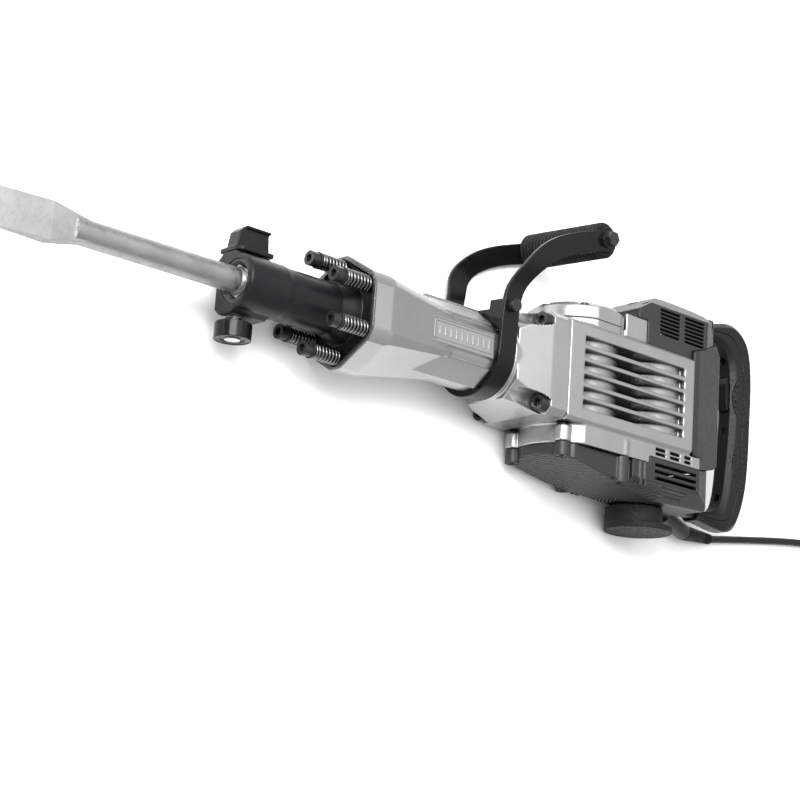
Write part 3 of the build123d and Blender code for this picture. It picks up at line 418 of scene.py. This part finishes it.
def add_light(name, place, target, size, power):
    data = bpy.data.lights.new(name, "AREA")
    data.shape = "RECTANGLE"
    data.size, data.size_y = size
    data.energy = power
    light = bpy.data.objects.new(name, data)
    light.location = place
    light.rotation_euler = (Vector(target) - Vector(place)).to_track_quat("-Z", "Y").to_euler()
    bpy.context.collection.objects.link(light)


def add_sun(name, way, strength, angle):
    """Even light from a wide patch of sky; way is where it comes from, in the axis frame."""
    data = bpy.data.lights.new(name, "SUN")
    data.energy, data.angle = strength, radians(angle)
    sun = bpy.data.objects.new(name, data)
    sun.rotation_euler = Vector(way).to_track_quat("Z", "Y").to_euler()
    bpy.context.collection.objects.link(sun)


def add_studio():
    world = bpy.data.worlds.new("studio")
    world.use_nodes = True
    background = world.node_tree.nodes["Background"]
    background.inputs["Color"].default_value = (1, 1, 1, 1)
    background.inputs["Strength"].default_value = WORLD_LIGHT
    bpy.context.scene.world = world
    bpy.context.scene.view_settings.view_transform = "Standard"

    add_sun("key_sun", (-0.30, 0.55, 0.95), 2.0, 70)
    add_sun("top_sun", (-0.1, 0.1, 1.0), 1.2, 110)
    add_light("nose_light", (-1.2, 0.5, 1.4), (0, 0, 0.05), (0.8, 1.2), 40)

    mesh = bpy.data.meshes.new("floor")
    corners = [(x * FLOOR_HALF, y * FLOOR_HALF, 0) for x, y in ((-1, -1), (1, -1), (1, 1), (-1, 1))]
    mesh.from_pydata(corners, [], [(0, 1, 2, 3)])
    floor = bpy.data.objects.new("floor", mesh)
    bpy.context.collection.objects.link(floor)
    paper = Shader("studio_paper", (0.93, 0.93, 0.93), 0.8)
    paper.color_between(paper.noise(900, 2), (0.92, 0.92, 0.92), (0.94, 0.94, 0.94))
    floor.data.materials.append(paper.material)


# ---- CAD nodes that stay: their finish ----
OTHER_LOOKS = {"flat_chisel": "forged", "trigger": "handle", "cord_tie": "cord", "plug": "cord"}


def dress_frame():
    """Each CAD node gets the material of its slot, or the one named for it."""
    for entry in frame["record"]["subparts"]:
        node = entry["node"]
        dress(nodes[node], OTHER_LOOKS.get(node, entry["material_slot"]))


# ---- castings and mouldings: the CAD shapes with every edge rounded, and raised detail cast in ----
def box_mesh(low, high, turn=0.0):
    """Corners and faces of a box between two corners, turned about the hammer axis by turn degrees."""
    (x0, y0, z0), (x1, y1, z1) = low, high
    spin = Matrix.Rotation(radians(turn), 3, "X")
    corners = [spin @ Vector((x, y, z)) for x in (x0, x1) for y in (y0, y1) for z in (z0, z1)]
    faces = [(0, 1, 3, 2), (4, 6, 7, 5), (0, 4, 5, 1), (2, 3, 7, 6), (0, 2, 6, 4), (1, 5, 7, 3)]
    return corners, faces


def add_closed(bm, shape):
    """Adds the vertices and faces of a closed shape, given in the axis frame."""
    corners, faces = shape
    verts = [bm.verts.new(at(*corner)) for corner in corners]
    for face in faces:
        bm.faces.new([verts[i] for i in face])


def stand_in(piece, node):
    """Makes the piece ride where the CAD node did and hides the node."""
    record = frame["record"]
    body = next(b for b, names in record["behaviour"]["bodies"].items() if node in names)
    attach(piece, body)
    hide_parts(node)


def cast_piece(node, key, voxel_mm, passes, extra=()):
    """Stands in for a CAD node: its mesh and the extra closed shapes made one skin with soft edges."""
    name = node + "_skin"
    bm = bmesh.new()
    bm.from_mesh(nodes[node].data)
    bmesh.ops.remove_doubles(bm, verts=bm.verts, dist=0.002 * MM)
    for shape in extra:
        add_closed(bm, shape)
    bmesh.ops.recalc_face_normals(bm, faces=bm.faces)
    rough = bpy.data.meshes.new(name + "_rough")
    bm.to_mesh(rough)
    bm.free()
    form = bpy.data.objects.new(name + "_form", rough)
    piece = bpy.data.objects.new(name, rough)
    for thing in (form, piece):
        bpy.context.collection.objects.link(thing)
    skin = piece.modifiers.new("skin", "REMESH")
    skin.mode, skin.voxel_size, skin.use_smooth_shade = "VOXEL", voxel_mm * MM, True
    settle = piece.modifiers.new("settle", "SHRINKWRAP")
    settle.wrap_method, settle.target = "NEAREST_SURFACEPOINT", form
    soften = piece.modifiers.new("soften", "SMOOTH")
    soften.factor, soften.iterations = 0.5, passes
    depsgraph = bpy.context.evaluated_depsgraph_get()
    piece.data = bpy.data.meshes.new_from_object(piece.evaluated_get(depsgraph))
    piece.modifiers.clear()
    bpy.data.objects.remove(form)
    dress(piece, key)
    stand_in(piece, node)


BOSS_X0, BOSS_X1, BOSS_HALF, BOSS_LOW, BOSS_TOP = 222.0, 319.0, 14.0, 36.0, 43.4
BOSS_TURNS = (0, -52, 52, 180)
LINE_TURNS = (0, 180)
LINE_WIDTH, LINE_TOP, LINE_EDGE = 1.3, 44.3, 0.35
BAR_WIDTH, BAR_PITCH, BAR_TOP = 2.6, 8, 44.0


def barrel_bosses():
    """Raised pads cast round the barrel."""
    return [box_mesh((BOSS_X0, -BOSS_HALF, BOSS_LOW), (BOSS_X1, BOSS_HALF, BOSS_TOP), turn)
            for turn in BOSS_TURNS]


def add_barrel_lines():
    """A frame of fine raised lines on two of the pads, with plain bars in it."""
    shapes = []
    root = BOSS_TOP - 1
    for turn in LINE_TURNS:
        for y, start in ((-BOSS_HALF + 0.6, 1), (-10.0, 8), (8.7, 8), (BOSS_HALF - 1.9, 1)):
            low = (BOSS_X0 + start, y, root)
            shapes.append(box_mesh(low, (BOSS_X1 - 1, y + LINE_WIDTH, LINE_TOP), turn))
        shapes.append(box_mesh((BOSS_X0 + 8, -9, root), (BOSS_X0 + 8 + LINE_WIDTH, 9, LINE_TOP), turn))
        for x in range(238, 314, BAR_PITCH):
            shapes.append(box_mesh((x, -5.5, root), (x + BAR_WIDTH, 4.5, BAR_TOP), turn))
    bm = bmesh.new()
    for shape in shapes:
        add_closed(bm, shape)
    bmesh.ops.recalc_face_normals(bm, faces=bm.faces)
    bmesh.ops.bevel(bm, geom=bm.edges[:], offset=LINE_EDGE * MM, segments=2, affect="EDGES", profile=0.5)
    mesh = bpy.data.meshes.new("barrel_lines")
    bm.to_mesh(mesh)
    bm.free()
    lines = bpy.data.objects.new("barrel_lines", mesh)
    bpy.context.collection.objects.link(lines)
    dress(lines, "barrel")
    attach(lines, "tool")


CASTINGS = [
    # node, look, voxel size in millimetres, smoothing passes
    ("crank_case", "cast_alloy", 1.2, 5), ("crank_cover", "cast_alloy", 1.0, 5),
    ("gear_cover", "grooved", 1.0, 5), ("motor_cover", "dark_plastic", 0.9, 4),
    ("tail_cover", "dark_plastic", 1.2, 3), ("front_cover", "nose", 0.9, 4),
    ("handle_outer_half", "handle", 1.0, 8), ("handle_inner_half", "handle", 1.0, 8),
    ("rest_foot", "black_rubber", 0.9, 4), ("retainer_lever", "nose", 0.7, 8),
    ("retainer_knob", "black_fittings", 0.6, 3), ("side_strap", "black_fittings", 0.9, 4),
    ("clamp_block", "black_fittings", 0.9, 5), ("cord_guard", "black_rubber", 0.6, 3),
    ("side_grip", "black_rubber", 0.7, 2),
]


def add_castings():
    cast_piece("cylinder_case", "barrel", 0.9, 4, barrel_bosses())
    for casting in CASTINGS:
        cast_piece(*casting)
    add_barrel_lines()


# ---- springs ----
SPRING_STEPS, WIRE_SIDES = 28, 10
AXES = {"X": (Vector((1, 0, 0)), Vector((0, 1, 0)), Vector((0, 0, 1))),
        "Y": (Vector((0, 1, 0)), Vector((1, 0, 0)), Vector((0, 0, 1)))}
BOLT_CIRCLE_R, CUSHION_BOLTS = 47.5, 6
CUSHION = {"along": "X", "low": 103.5, "high": 138.7, "coil_r": 7.4, "wire_r": 1.5, "turns": 8}
RETAINER = {"along": "Y", "low": -45.9, "high": -33.5, "coil_r": 10.5, "wire_r": 1.0, "turns": 4}
FINGER = {"along": "X", "low": 764.1, "high": 770.4, "coil_r": 2.1, "wire_r": 0.5, "turns": 4}


def spring_shape(middle, along, low, high, coil_r, wire_r, turns):
    """Vertices and faces of one coil spring from low to high along its axis, with closed end turns."""
    way, first, second = AXES[along]
    pitch = (high - low - 6 * wire_r) / (turns - 2)
    verts, faces = [], []
    for step in range(SPRING_STEPS * turns + 1):
        turn = step / SPRING_STEPS
        closed = min(turn, 1) + max(turn - (turns - 1), 0)
        height = low + wire_r + 2 * wire_r * closed + pitch * min(max(turn - 1, 0), turns - 2)
        outward = first * cos(2 * pi * turn) + second * sin(2 * pi * turn)
        centre = middle + way * height + outward * coil_r
        for side in range(WIRE_SIDES):
            a = 2 * pi * side / WIRE_SIDES
            verts.append(centre + (outward * cos(a) + way * sin(a)) * wire_r)
            if step:
                here, beside = len(verts) - 1, len(verts) - 1 - side + (side + 1) % WIRE_SIDES
                faces.append((here, beside, beside - WIRE_SIDES, here - WIRE_SIDES))
    faces.append(range(WIRE_SIDES))
    faces.append(range(len(verts) - WIRE_SIDES, len(verts)))
    return verts, faces


def add_springs(node, form, middles):
    """Stands in for a node of springs."""
    bm = bmesh.new()
    for middle in middles:
        add_closed(bm, spring_shape(Vector(middle), **form))
    bmesh.ops.recalc_face_normals(bm, faces=bm.faces)
    for face in bm.faces:
        face.smooth = len(face.verts) == 4
    mesh = bpy.data.meshes.new(node + "_coils")
    bm.to_mesh(mesh)
    bm.free()
    coils = bpy.data.objects.new(node + "_coils", mesh)
    bpy.context.collection.objects.link(coils)
    dress(coils, "spring")
    stand_in(coils, node)
    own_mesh(coils)


def add_all_springs():
    turns = [2 * pi * k / CUSHION_BOLTS for k in range(CUSHION_BOLTS)]
    bolts = [(0, BOLT_CIRCLE_R * cos(turn), BOLT_CIRCLE_R * sin(turn)) for turn in turns]
    add_springs("cushion_springs", CUSHION, bolts)
    add_springs("retainer_spring", RETAINER, [(17, 0, -18)])
    add_springs("trigger_spring", FINGER, [(0, 48.5, 0)])


# ---- the cord ----
CORD_R = 4.5
FLOOR_Z = -BODY_HALF
CORD_Z = FLOOR_Z + CORD_R
CORD_ROUTE = [(797, -121.4, -49.3), (826, -116.8, CORD_Z + 0.3), (872, -109.7, CORD_Z), (925, -101.9, CORD_Z),
              (975, -95.5, CORD_Z), (1020, -92, CORD_Z), (1050, -94, CORD_Z + 0.8)]
COIL_AT, COIL_LIFT = (1053.8, -36.1), 0.8
COIL_LANES = [(58, 0), (49, 0), (40, 0), (40, 1), (49, 1), (58, 1)]
COIL_STEPS, COIL_START, COIL_END = 24, radians(-93.8), radians(-19)
STEP_OVER = 0.8                      # the share of a turn after which the cord moves to its next lane
TAIL = [(1114.5, -38, FLOOR_Z + 23.3), (1120.5, -20, FLOOR_Z + 20.5), (1123.5, -4, FLOOR_Z + 15.5)]
PLUG_START = (1124.5, 8, FLOOR_Z + 14.5)


def coil_points():
    """Three turns side by side going in, a step up, and three more coming out, then a last part turn."""
    points = []
    low = FLOOR_Z + COIL_LIFT + CORD_R
    lanes = COIL_LANES + [(58, 2)]
    for turn, (radius, layer) in enumerate(lanes):
        last = turn == len(lanes) - 1
        sweep = COIL_END - COIL_START if last else 2 * pi
        steps = max(2, round(COIL_STEPS * sweep / (2 * pi)))
        for step in range(steps):
            share = step / steps
            ease = 0.0 if last else max(0.0, (share - STEP_OVER) / (1 - STEP_OVER))
            following = lanes[min(turn + 1, len(lanes) - 1)]
            r = radius + (following[0] - radius) * ease
            climb = 2 * CORD_R * (layer + (following[1] - layer) * ease)
            angle = COIL_START + sweep * share
            points.append((COIL_AT[0] + r * cos(angle), COIL_AT[1] + r * sin(angle), low + climb))
    return points


def add_cord():
    """The cord as one smooth line: along the floor, round the coil and into the plug."""
    curve = bpy.data.curves.new("cord_line", "CURVE")
    curve.dimensions = "3D"
    curve.bevel_depth = CORD_R * MM
    curve.bevel_resolution = 6
    curve.resolution_u = 6
    curve.use_fill_caps = True
    places = [at(*p) for p in CORD_ROUTE + coil_points() + TAIL + [PLUG_START]]
    spline = curve.splines.new("NURBS")
    spline.points.add(len(places) - 1)
    for point, place in zip(spline.points, places):
        point.co = (*place, 1)
    spline.order_u = 3
    spline.use_endpoint_u = True
    line = bpy.data.objects.new("cord_line", curve)
    bpy.context.collection.objects.link(line)
    dress(line, "cord")
    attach(line, "tool")
    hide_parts("cord", "cord_coil")


add_camera()
add_studio()
dress_frame()
add_castings()
add_all_springs()
add_cord()
